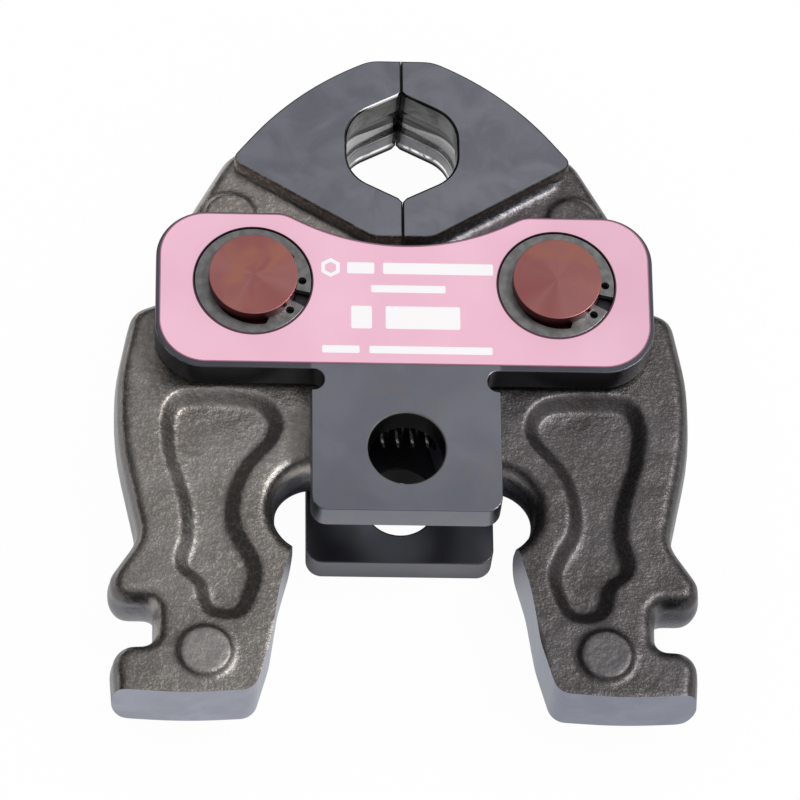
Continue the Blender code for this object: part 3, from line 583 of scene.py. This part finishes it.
def plate_finish():
    """Ground plate under satin black oxide, with traces of purple; holes and walls, and the back
    plate, are painted darker, painted shade, and the bolt hole's chamfer is a painted highlight.
    """
    f = Finish("plate_oxide", metallic=0.95)
    clouds = f.noise(12.0, 3, 0.55, distortion=0.5)
    stains = f.noise(8.0, 3, 0.6, distortion=1.0)
    grain = f.noise(0.3, 2, 0.6)
    lines = f.noise(0.45, 2, 0.6, spot=f.stretched(0.02, 1, 1))
    blue = f.blend(clouds.ramp(0.3, 0.7), (0.24, 0.248, 0.295), (0.275, 0.283, 0.33))
    tone = f.blend(stains.ramp(0.5, 0.75, 0.0, 0.6), blue, (0.285, 0.262, 0.28))
    # Painted shade: the walls of the pins' counterbores are near black.
    pin_hole_shade = f.off_square(PIN_X, 0.0).ramp(118.0, 122.0, 1.0, 0.0)
    pin_hole_shade = pin_hole_shade * f.z.ramp(STACK - 0.4, STACK - 0.1, 1.0, 0.0)
    pin_hole_shade = pin_hole_shade * f.z.ramp(STACK - 1.9, STACK - 1.8)
    # Painted shade in the bolt hole, and a painted highlight, lighter and rougher, on its chamfer.
    off_bolt = f.off_square(0.0, BOLT_LINE)
    bolt_hole_shade = off_bolt.ramp(49.1, 49.6, 1.0, 0.0)
    bolt_rim_highlight = off_bolt.ramp(53.1, 53.5, 1.0, 0.0) * f.z.ramp(STACK - 0.5, STACK - 0.35)
    tone = f.dimmed(f.y.ramp(-44.0, -30.0, 0.1, 0.0), f.blend(bolt_rim_highlight, tone, grey(0.38)))
    strip = abs(f.x).ramp(16.8, 17.6) * f.z.ramp(STACK - 0.1, STACK - 0.02) * 0.5
    tone = f.dimmed(strip, tone)
    # Painted shade: faces below the front plate's top are darkened, the back plate by half, the
    # tongue's walls less and the bar's walls more.
    low, high = PLATE + 0.1, PLATE + 0.9
    bar = f.y.ramp(SHOULDER - 0.5, SHOULDER + 0.1) * f.z.ramp(low, high) * 0.42
    wall = f.z.ramp(STACK - 0.25, STACK - 0.05, 1.0, 0.0)
    wall = wall * (f.z.ramp(low, high, 0.5, 0.36) + bar)
    f.set(Base_Color=f.blend(pin_hole_shade.larger(bolt_hole_shade), f.dimmed(wall, tone), grey(0.03)),
          Roughness=0.24 + clouds * 0.08 + grain * 0.04 + bolt_rim_highlight * 0.35)
    f.set(Normal=f.bump(grain * 0.5 + lines * 0.5, 0.01))
    return f.material


def pin_finish(name, side):
    """Copper-brown heat colours on a ground face, fanned about its axis; the wall is painted dark,
    painted shade, and the right pin's face is painted darker than the left's, painted shade.
    """
    f = Finish(name, metallic=0.9)
    x = f.x - side * PIN_X
    radius = f.off_square(PIN_X, 0.0).root()
    rings = f.node("ShaderNodeTexNoise", {"noise_dimensions": "1D"},
                   {"W": radius * 2.5, "Scale": 1.0, "Detail": 2.0})
    way = f.node("ShaderNodeCombineXYZ", {}, (x / radius, f.y / radius, 0.3 * side))
    fan = f.noise(0.8, 1, 0.5, spot=way)
    clouds = f.noise(7.0, 2, 0.5, distortion=0.6)
    red = f.blend(fan.ramp(0.3, 0.7), (0.47, 0.165, 0.16), (0.53, 0.22, 0.215))
    face = f.blend(clouds.ramp(0.45, 0.7), red, (0.56, 0.225, 0.17))
    # Painted shade: the right pin's face is darker than the left's.
    face = f.dimmed(f.x.ramp(-1.0, 1.0, 0.03, 0.14), face)
    # Painted shade: the wall below the top face is near black.
    upper = f.z.ramp(PIN_TOP - 0.25, PIN_TOP - 0.1)
    f.set(Base_Color=f.blend(upper, (0.11, 0.02, 0.022), face), Roughness=0.3 + clouds * 0.12)
    f.set(Normal=f.bump(rings, 0.004))
    return f.material


def ring_finish():
    """Bare spring steel of the retaining rings."""
    f = Finish("ring_steel", metallic=0.95)
    clouds = f.noise(1.5, 2, 0.5)
    f.set(Base_Color=f.blend(clouds.ramp(0.3, 0.7), grey(0.23), grey(0.32)),
          Roughness=0.28 + clouds * 0.12)
    return f.material


def spring_finish():
    """Spring wire, darker and shinier than the rings."""
    f = Finish("spring_wire", metallic=0.95)
    clouds = f.noise(0.8, 2, 0.5)
    f.set(Base_Color=f.blend(clouds.ramp(0.3, 0.7), grey(0.16), grey(0.24)),
          Roughness=0.2 + clouds * 0.1)
    return f.material


def label_finish():
    """Pink printed foil, with white bars and a nut sign where a maker would print words.

    A dark line round each pin hole is partly its cut edge and partly painted shade, and the foil is
    painted darker towards its right end, painted shade.
    """
    f = Finish("label_pink", roughness=0.42, Coat_Weight=0.15, Coat_Roughness=0.3)
    blur = 0.03

    def bar(left, right, low, high, radius=0.35):
        """Inside a rounded bar the value is 1."""
        dx = abs(f.x - (left + right) / 2) - ((right - left) / 2 - radius)
        dy = abs(f.y - (low + high) / 2) - ((high - low) / 2 - radius)
        dx, dy = dx.larger(0.0), dy.larger(0.0)
        off = (dx * dx + dy * dy).root() - radius
        return off.ramp(-blur, blur, 1.0, 0.0)

    def hexagon(x, y, across, width):
        """On the line of a hexagon the value is 1."""
        dx, dy = abs(f.x - x), abs(f.y - y)
        off = (dx * 0.5 + dy * 0.866).larger(dx) - across / 2
        return abs(off + width / 2).ramp(width / 2 - blur, width / 2 + blur, 1.0, 0.0)

    signs = [bar(-10.6, -5.6, 1.6, 3.9), bar(-4.0, 16.2, 1.6, 3.9),
             bar(-6.2, 7.4, -2.2, -0.7, 0.25),
             bar(-9.9, -6.1, -9.6, -5.0), bar(-3.6, 10.0, -9.6, -5.0),
             bar(-15.2, -8.4, -14.6, -13.1, 0.25), bar(-6.6, 15.8, -14.6, -13.1, 0.25),
             hexagon(-13.6, 2.75, 3.4, 0.7)]
    white = signs[0]
    for sign in signs[1:]:
        white = white.larger(sign)
    fibre = f.noise(0.5, 2, 0.5)
    clouds = f.noise(20.0, 2, 0.5)
    pink = f.blend(clouds.ramp(0.3, 0.7), (0.83, 0.47, 0.60), (0.87, 0.52, 0.65))
    # Cut edge and painted shade: a dark line round each pin hole, wider on the near side.
    hole_line = f.off_square(PIN_X, -0.17).ramp(121.0, 123.0, 1.0, 0.0)
    printed = f.blend(white, pink, (0.92, 0.9, 0.91))
    # Painted shade: the foil darkens towards its right end.
    printed = f.dimmed(f.x.ramp(15.0, 46.0, 0.0, 0.1), printed)
    f.set(Base_Color=f.blend(hole_line, printed, (0.1, 0.02, 0.045)))
    f.set(Normal=f.bump(fibre, 0.006))
    return f.material


def label_edge_finish():
    """The foil's cut edge, in dark pinks."""
    f = Finish("label_edge", roughness=0.45)
    tone = f.noise(2.0, 2, 0.5)
    f.set(Base_Color=f.blend(tone, (0.30, 0.10, 0.17), (0.42, 0.17, 0.25)))
    return f.material


# The levers

def stop_point(distance):
    """A point of the stop face, by its distance down from where the rolling relief ends."""
    return (PIN_X - ROLLING * math.cos(OPENING) + distance * math.sin(OPENING),
            -ROLLING * math.sin(OPENING) - distance * math.cos(OPENING))


def forging_outline():
    """The right lever's forging where its dies part, with stock on the machined faces."""
    stop_x, stop_y = stop_point(24.5)
    outer = PIN_X + 25.6
    relief = PIN_X - 4.4
    return rounded([
        (-3, 34, 0), (-3, -12, 0), (stop_x - 3, stop_y - 0.5, 0), (stop_x + 3.5, -33.9, 3.5),
        (relief, -33.9, 7.6), (relief, -49.1, 7.6), (relief - 13.6, -49.1, 0),
        (relief - 13.6, -54, 0), (relief - 2, -65, 8), (relief + 0.6, -80.4, 0),
        (outer - 1.2, -80.4, 0), (outer - 0.2, -67.8, 4.5),
        (PIN_X + 17.5, -67.8, 1.8), (PIN_X + 17.5, -60.35, 1.6), (outer - 0.1, -60.35, 3.5),
        (outer + 0.2, -55.0, 3.8), (outer - 4.9, -47.2, 5), (outer - 0.5, -27.5, 60),
        (outer - 0.6, -15, 40), (outer - 3.1, -1.6, 4.5), (outer - 8.8, 0.6, 2.6),
        (outer - 12, 15.8, 20), (outer - 20.4, 30.8, 8), (outer - 26, 34, 3.6)], 0.03)


def machined_outline():
    """What the cutters leave of the right lever: split, rolling face, stop, cam face and foot."""
    stop_x, stop_y = stop_point(30.5)
    split, far = 0.05, 260
    rolling = arc(PIN_X, 0, ROLLING, math.pi, math.pi + OPENING, 24)
    corners = [(split, far, 0), (split, 9, 0)] + [(x, y, 0) for x, y in rolling]
    corners += [(stop_x, stop_y, 0), (18.06, -40.4, 0), (PIN_X - 5.15, -57.3, 30),
                (PIN_X - 3.65, -67.6, 20), (PIN_X - 0.85, -77.25, 3.5), (PIN_X + 11.5, -78.07, 90),
                (PIN_X + 28, -77.15, 0), (far, -77.15, 0), (far, far, 0)]
    return rounded(corners)


def head_corners(grow):
    """The right half of the pressing head, grown outward from its front face."""
    top = 48.6 + grow
    return [(-3, top, 0), (-3, 11.95 - grow, 0), (5.5 + 0.27 * grow, 11.95 - grow, 6),
            (31.5 + 1.5 * grow, 27.4 - 0.27 * grow, 1.4 + grow),
            (19.5 + 0.61 * grow, 42.2 + 0.82 * grow, 60 + grow),
            (5.8 + 0.22 * grow, top, 8 + grow)]


def pocket_outline():
    """The wavy rim of the right lever's recess."""
    rim = [(1.5, -18.6), (-3.3, -20.2), (-5.8, -24.4), (-4.6, -28.8), (-0.3, -34), (1.7, -39.5),
           (1.8, -45), (-1, -50.6), (-2.1, -54), (-1.3, -58.2), (0.7, -62.6), (4.2, -63.8),
           (8.2, -62.7), (9.7, -59.6), (10.2, -57.2), (13.1, -54.6), (13.8, -51.8),
           (12.8, -47.5), (12.8, -42.5), (14.2, -37.2), (16, -31.2), (16.5, -24.6),
           (15, -20.2), (11, -18.5)]
    return smooth_loop([(PIN_X + x, y) for x, y in rim], 6)


def bore_cutter():
    """Chamfer, land, bead groove, land and chamfer, as one tool through both levers."""
    flat, tip, slope = 10.3, 11.1, math.tan(math.radians(27))
    right = [(0, -tip - 0.5, 0), (0.8, -tip + 0.8 * slope, 0.4), (flat, flat * slope - tip, 7),
             (flat, tip - flat * slope, 7), (0.8, tip - 0.8 * slope, 0.4)]
    outline = rounded(right + [(-x, -y, r) for x, y, r in right])
    # how far the bore widens at each height over its middle: groove, land and chamfer
    upper = [(0.5, 1.6), (1.4, 1.49), (2.2, 1.26), (3.0, 0.9), (3.6, 0.55), (4.1, 0.26),
             (4.5, 0.09), (4.9, 0), (HEAD - 0.5, 0), (HEAD - 0.22, 0.08), (HEAD - 0.07, 0.22),
             (HEAD, 0.45), (HEAD + 1, 0.65)]
    lower = [(-height, wider) for height, wider in reversed(upper)]
    levels = [(height, 1 + wider / flat) for height, wider in lower + upper]
    bm = stacked(outline, levels, (0, BORE_LINE))
    bmesh.ops.recalc_face_normals(bm, faces=bm.faces[:])
    second_finish(bm, lambda face: abs(face.calc_center_median().z) < 4.6)
    return moved(bm, 0, 0, MID)


def forged_body(forged):
    """The right lever's forging: arm, root of the head, eye, recess and pads, all softened.

    Its flank leans in towards a rounded front edge; the back edge is rounded all the way.
    """
    body = solid("lever_right", back_to_back(
        drawn_in(forging_outline(), [(0.4, 3.0)] + quarter(2.4, 4.0, 7)),
        drawn_in(forging_outline(), quarter(2.9, LEVER, 7)), MID), [forged])
    root = [(-3, 36.3, 0), (-3, 10.15, 0), (5.95, 10.15, 6), (31, 24.95, 2.4), (24, 32.3, 2.4)]
    flare = [(0, LEVER)] + quarter(1.7, 2.0, 4)[::-1]
    cut(body, "root_tool", mirrored(drawn_in(rounded(root, 0.03), flare), MID), [forged], "UNION")
    cut(body, "eye_tool", disc(PIN_X, 0, 12.5, LEVER + 1.1, 0.3), [forged], "UNION")
    pocket = mirrored(drawn_in(pocket_outline(), [(0, -1), (2.6, -2.1)], LEVER + 1), 0)
    cut(body, "pocket_tool", moved(closed(pocket), 0, 0, MID), [forged])
    for x, y in PADS:
        cut(body, "pad_tool", disc(x, y, PAD_RADIUS, LEVER + 0.85, 0.3), [forged], "UNION")
    shape(body, "REMESH", mode="VOXEL", voxel_size=0.4, use_smooth_shade=True)
    shape(body, "SMOOTH", factor=0.5, iterations=14)
    return body


def make_levers(forged, machined, land, groove, mating_shade):
    """Both levers: the forging, the crisp head on it, then all that is machined."""
    body = forged_body(forged)
    head = mirrored(drawn_in(rounded(head_corners(0.9)),
                             [(0.6, HEAD - 0.3)] + quarter(0.3, 0.3, 4)), MID)
    second_finish(head, lambda face: abs(face.calc_center_median().z - MID) > HEAD - 0.01)
    cut(body, "head_tool", head, [forged, machined], "UNION")
    machining = second_finish(prism(machined_outline(), -15, 45),
                              lambda face: face.calc_center_median().x < 3)
    cut(body, "machining_tool", machining, [machined, mating_shade], "INTERSECT")
    notch = tipped(prism([(0.3, 0), (0, 0.3), (-0.3, 0), (0, -0.3)], 5, 60), "X", -1)
    cut(body, "split_tool", mirrored(moved(notch, 0, 0, HEAD), MID), [mating_shade])
    cut(body, "pin_tool", disc(PIN_X, 0, PIN_HOLE, 30), [machined])
    cut(body, "bore_tool", bore_cutter(), [land, groove])
    seat = tipped(rod(0, 0, 3.3, 0, 12.04, COARSE), "Y")
    cut(body, "seat_tool", moved(seat, 0, SPRING_LINE, MID), [machined])
    settled(body)
    left = mirror_copy(body, "lever_left")
    place(body, "right_arm", ["right_lever"])
    place(left, "left_arm", ["left_lever"])


# Plates, pins, rings, spring and label

def bar_corners(top, side, bottom):
    """The upper part of the T, drawn in by a border along each of its edges."""
    slope, radius = math.radians(27.2), 41.6
    dip, high, round_end = 7.7 - top, 13.9 - top, 9.3 - side
    vertex = dip + radius - radius / math.cos(slope)
    end = PIN_X + 17.75 - side
    return [(0, vertex, radius), ((high - vertex) / math.tan(slope), high, 6),
            (end, high, round_end), (end, bottom + BAR_END, round_end)]


def make_plates(oxide):
    """Both plates, each with a bolt hole and with stepped holes for the pins and rings."""
    half, notch = 17.15, 2.35
    outline = both_sides(bar_corners(0, 0, 0) + [
        (half - notch, BAR_END, 2.05), (half - notch, SHOULDER, 2.05), (half, SHOULDER, 0.3),
        (half, -45.8, 3)])
    # the back plate's bolt hole is a little narrower, and its steps take the pins' heads
    for name, node, low, facing, bolt, wide, deep in (
            ("plate_front", "front_plate", STACK - PLATE, FRONT, BOLT_HOLE, 10.75, 1.95),
            ("plate_back", "back_plate", 0.0, BACK, BOLT_HOLE - 0.35, 10.7, 3.3)):
        half_plate = drawn_in(outline, [(0, PLATE / 2 - 0.22)] + quarter(0.22, 0.22, 3))
        plate = solid(name, mirrored(half_plate, low + PLATE / 2), [oxide])
        rim = [(0, 4), (bolt + 4.3, 4), (bolt + 0.3, 0), (bolt + 0.08, -0.16), (bolt, -0.36)]
        rim += [(r, -PLATE - z) for r, z in reversed(rim)]
        cut(plate, "bolt_tool", turned([(r, low + PLATE + z) for r, z in rim], 0, BOLT_LINE, FINE),
            [oxide])
        face = low + PLATE if facing == FRONT else low
        steps = [(0, 4), (wide + 4.12, 4), (wide + 0.12, 0), (wide, -0.12), (wide, -deep),
                 (PIN_HOLE, -deep), (PIN_HOLE, -9), (0, -9)]
        for side in (1, -1):
            hole = turned([(r, face + facing * z) for r, z in steps], side * PIN_X, 0, FINE)
            cut(plate, "pin_tool", hole, [oxide])
        place(settled(plate), "frame", [node], weight=100)


def make_pins():
    """Both pins: a broken top edge, the ring's groove, and a wide head in the back plate."""
    neck, groove_low, groove_high = 7.5, 28.2, 29.8
    head, head_low, head_high, edge = 10.4, 0.3, 3.0, 0.25
    profile = [(0, PIN_TOP), (PIN_RADIUS - 0.15, PIN_TOP), (PIN_RADIUS - 0.05, PIN_TOP - 0.04),
               (PIN_RADIUS, PIN_TOP - 0.14), (PIN_RADIUS, groove_high), (neck, groove_high),
               (neck, groove_low), (PIN_RADIUS, groove_low), (PIN_RADIUS, head_high),
               (head - edge, head_high), (head, head_high - edge), (head, head_low + edge),
               (head - edge, head_low), (0, head_low)]
    for hand, side in (("left", -1), ("right", 1)):
        pin = solid("pin_" + hand, turned(profile, side * PIN_X, 0, FINE),
                    [pin_finish("pin_brown_" + hand, side)])
        place(pin, "frame", [hand + "_pin"])


def ring_inner(turn):
    """Inner radius by the angle from the middle of the gap: lugs, a relief, then the bite."""
    bite, turn = 7.8, math.degrees(turn)
    if turn < 48 or turn > 140:
        return bite
    if turn < 54:
        return bite + 0.2 * (turn - 48)
    return bite + 1.2 * (140 - turn) / 86


def make_rings(steel):
    """Both retaining rings, open by a gap between two lugs that have a hole each."""
    outer, middle, lug_reach, lug_hole = 10.65, 29.12, 9, 0.75
    gap, half, lug = (math.radians(angle) for angle in (-20.5, 8, 20.8))
    turns = [half + (math.tau - 2 * half) * i / 180 for i in range(181)]
    for hand, side in (("left", -1), ("right", 1)):
        x = side * PIN_X
        outline = [(x + outer * math.cos(gap + t), outer * math.sin(gap + t)) for t in turns]
        for t in reversed(turns):
            inner = ring_inner(min(t, math.tau - t))
            outline.append((x + inner * math.cos(gap + t), inner * math.sin(gap + t)))
        half_ring = drawn_in(outline, [(0, 0.53), (0.04, 0.08), (0.08, 0.04)])
        ring = solid("ring_" + hand, mirrored(half_ring, middle), [steel])
        for angle in (gap - lug, gap + lug):
            hole = rod(x + lug_reach * math.cos(angle), lug_reach * math.sin(angle), lug_hole,
                       31, 26, 32)
            cut(ring, "lug_tool", hole, [steel])
        place(settled(ring), "frame", [hand + "_ring"])


def make_spring(steel):
    """Two halves of the coil, each squeezed towards the middle by its own lever."""
    radius, wire, turns, steps = 2.45, 0.45, 4.75, 48
    end, last_pitch = 11.29, 1.035
    pitch = (end - last_pitch) / (turns - 1)
    for hand, side in (("left", -1), ("right", 1)):
        bm = bmesh.new()
        bmesh.ops.create_circle(bm, cap_ends=False, radius=wire, segments=12)
        moved(tipped(bm, "X"), 0, 0, -radius)
        geom = bm.verts[:] + bm.edges[:]
        # both halves start at the foot of the coil at x 0 and wind on in the same sense
        for span, rise in ((turns - 1, pitch), (1, last_pitch)):
            grown = bmesh.ops.spin(bm, geom=geom, cent=(0, 0, 0), axis=(side, 0, 0),
                                   dvec=(side * rise / steps, 0, 0), angle=math.tau * span,
                                   steps=round(steps * span))
            geom = grown["geom_last"]
        moved(closed(bm), 0, SPRING_LINE, MID)
        coil = place(solid("spring_" + hand, bm, [steel]), "frame", ["spring"])
        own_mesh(coil)


def make_label(pink, edge):
    """A thin foil with a chamfered edge, on the front plate's bar and around both pin holes."""
    bm = drawn_in(both_sides(bar_corners(0.3, 0.7, 1.1)), [(0, 0.1), (0.22, 0.0)], STACK)
    second_finish(bm, lambda face: len(face.verts) == 4)
    label = solid("label_foil", closed(bm), [pink, edge])
    for side in (1, -1):
        cut(label, "pin_tool", rod(side * PIN_X, 0, 10.85, STACK + 2, STACK - 2, FINE), [edge])
    place(settled(label), "frame", ["label"])


# Stage

def make_stage():
    """A pale floor, a hair below the jaw, that shows white to the camera with a faint shadow.

    It glows white for the camera and for metal's mirror image, and is plain for all other light.
    """
    bm = bmesh.new()
    bmesh.ops.create_grid(bm, x_segments=1, y_segments=1, size=3.0)
    floor = solid("floor", bm)
    floor.location.z = -0.0002
    f = Finish("floor_white", roughness=0.9)
    f.set(Base_Color=(0.88, 0.88, 0.88, 1))
    length, middle, depth = SHADE
    seen = f.node("ShaderNodeLightPath", out="Is Camera Ray")
    clear = (abs(f.x) - length).larger(abs(f.y - middle) - depth).ramp(-4.0, 6.0)
    glossy = f.node("ShaderNodeLightPath", out="Is Glossy Ray") * clear
    glow = f.node("ShaderNodeEmission", {}, {0: (1, 1, 1, 1), 1: 1.0})
    mixed = f.node("ShaderNodeMixShader", {},
                   {0: seen.larger(glossy) * 0.97, 1: Wire(f, f.shader.outputs[0]), 2: glow})
    f.tree.links.new(mixed.socket, f.tree.nodes["Material Output"].inputs[0])
    floor.data.materials.append(f.material)


def make_light():
    """A square lamp above the jaw's right side, aimed at its middle."""
    data = bpy.data.lights.new("right", "AREA")
    data.shape, data.size, data.size_y = "RECTANGLE", 0.2, 0.2
    data.energy = 2.7
    lamp = bpy.data.objects.new("right", data)
    bpy.context.scene.collection.objects.link(lamp)
    spot, target = Vector((0.43, 0.05, 0.9)), Vector((0, 0, 0.01))
    lamp.location = spot
    lamp.rotation_euler = (target - spot).to_track_quat("-Z", "Y").to_euler()


def make_world():
    """A studio, white to the camera; metal mirrors it dark at the horizon and grey overhead."""
    world = bpy.data.worlds.new("studio")
    bpy.context.scene.world = world
    world.use_nodes = True
    nodes, links = world.node_tree.nodes, world.node_tree.links

    def math_node(operation, *values):
        made = nodes.new("ShaderNodeMath")
        made.operation = operation
        for socket, value in zip(made.inputs, values):
            if isinstance(value, bpy.types.NodeSocket):
                links.new(value, socket)
            else:
                socket.default_value = value
        return made.outputs[0]

    seen = nodes.new("ShaderNodeLightPath")
    shown = math_node("MAXIMUM", seen.outputs["Is Camera Ray"], seen.outputs["Is Transmission Ray"])
    way = nodes.new("ShaderNodeSeparateXYZ")
    links.new(nodes.new("ShaderNodeTexCoord").outputs["Generated"], way.inputs[0])
    rise = nodes.new("ShaderNodeMapRange")
    rise.interpolation_type = "SMOOTHSTEP"
    links.new(math_node("MULTIPLY_ADD", way.outputs[0], WORLD_LEAN, way.outputs[2]),
              rise.inputs[0])
    for i, value in enumerate(WORLD_RISE, 1):
        rise.inputs[i].default_value = value
    glossy = seen.outputs["Is Glossy Ray"]
    plain = math_node("MULTIPLY_ADD", math_node("SUBTRACT", 1.0, glossy), WORLD_PLAIN,
                      math_node("MULTIPLY", glossy, rise.outputs[0]))
    strength = math_node("MULTIPLY_ADD", plain, math_node("SUBTRACT", 1.0, shown), shown)
    nodes["Background"].inputs[0].default_value = (1, 1, 1, 1)
    links.new(strength, nodes["Background"].inputs[1])


def make_camera():
    """The photograph's camera, fitted to it: 0.9 m off, looking down from beyond the feet."""
    distance, azimuth, height, roll = 0.9, -7.0868, 64.1236, 7.2511
    focal_pixels, picture_pixels = 4873.015, 800
    az, el, turn = (math.radians(a) for a in (azimuth, height, roll))
    target = Vector((-0.0000668, PIN_LINE / 1000 - 0.0152216, 0.012))
    back = Vector((math.sin(az) * math.cos(el), -math.cos(az) * math.cos(el), math.sin(el)))
    right = (-back).cross(Vector((0, 0, 1))).normalized()
    up = right.cross(-back)
    right, up = (math.cos(turn) * right + math.sin(turn) * up,
                 math.cos(turn) * up - math.sin(turn) * right)
    data = bpy.data.cameras.new("camera")
    data.sensor_width, data.lens = 36, focal_pixels / picture_pixels * 36
    data.clip_start, data.clip_end = 0.05, 20
    camera = bpy.data.objects.new("camera", data)
    bpy.context.scene.collection.objects.link(camera)
    camera.matrix_world = Matrix.Translation(target + back * distance) @ Matrix(
        (right, up, back)).transposed().to_4x4()
    bpy.context.scene.camera = camera


make_levers(forged_finish(), machined_finish(), land_finish(), groove_finish(), mating_shade_finish())
make_plates(plate_finish())
make_pins()
make_rings(ring_finish())
make_spring(spring_finish())
make_label(label_finish(), label_edge_finish())
make_stage()
make_light()
make_world()
make_camera()
bpy.context.scene.view_settings.view_transform = "Standard"
